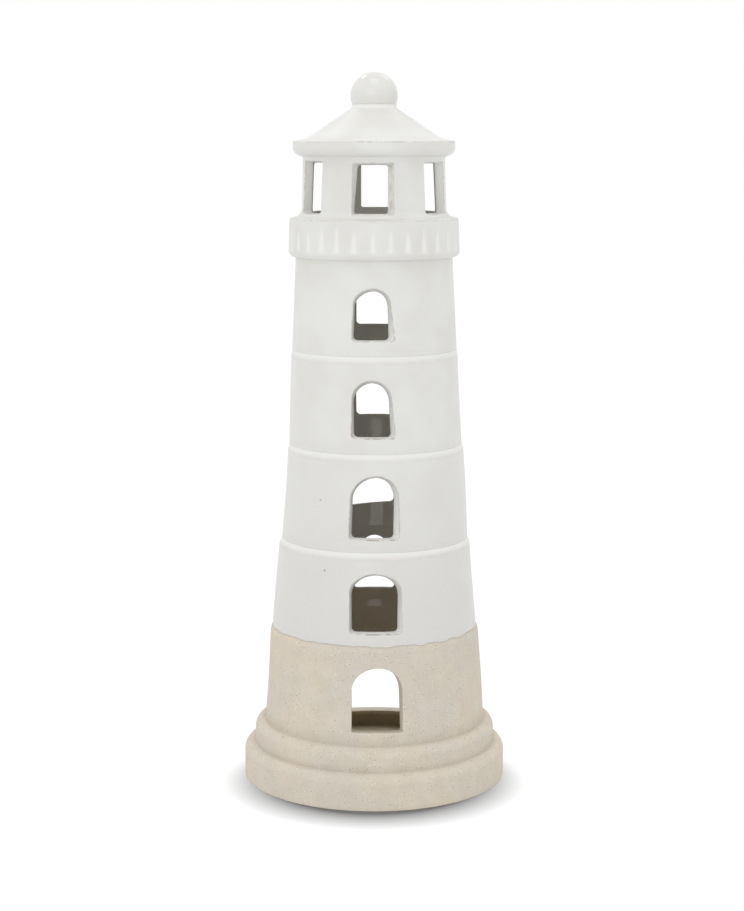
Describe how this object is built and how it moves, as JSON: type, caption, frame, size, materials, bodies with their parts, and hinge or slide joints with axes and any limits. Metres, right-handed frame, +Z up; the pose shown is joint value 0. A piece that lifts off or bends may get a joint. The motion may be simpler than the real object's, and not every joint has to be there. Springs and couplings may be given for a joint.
{
  "type": "lighthouse tealight holder",
  "caption": "Hollow stoneware lighthouse with arched windows, a fluted gallery, a lantern room and a ball finial; a tealight goes in through the rear door of its unglazed base.",
  "frame": {"origin": "centre of the foot, on the surface that the ornament stands on", "axes": "+Z up the tower's axis, -Y towards the front windows, +Y towards the tealight door"},
  "size_m": [0.1276, 0.1276, 0.34],
  "materials": {
    "bare_stoneware": "unglazed, fired to a fine sandy surface with small light and dark specks",
    "white_glaze": "glossy white glaze that thins to a sandy brown on sharp edges"
  },
  "bodies": {
    "root": {"base_storey": "bare_stoneware", "floor_disc": "bare_stoneware", "storey_1": "white_glaze", "storey_2": "white_glaze", "storey_3": "white_glaze", "storey_4": "white_glaze", "gallery": "white_glaze", "lantern_room": "white_glaze", "roof": "white_glaze", "finial": "white_glaze"}
  },
  "joints": []
}
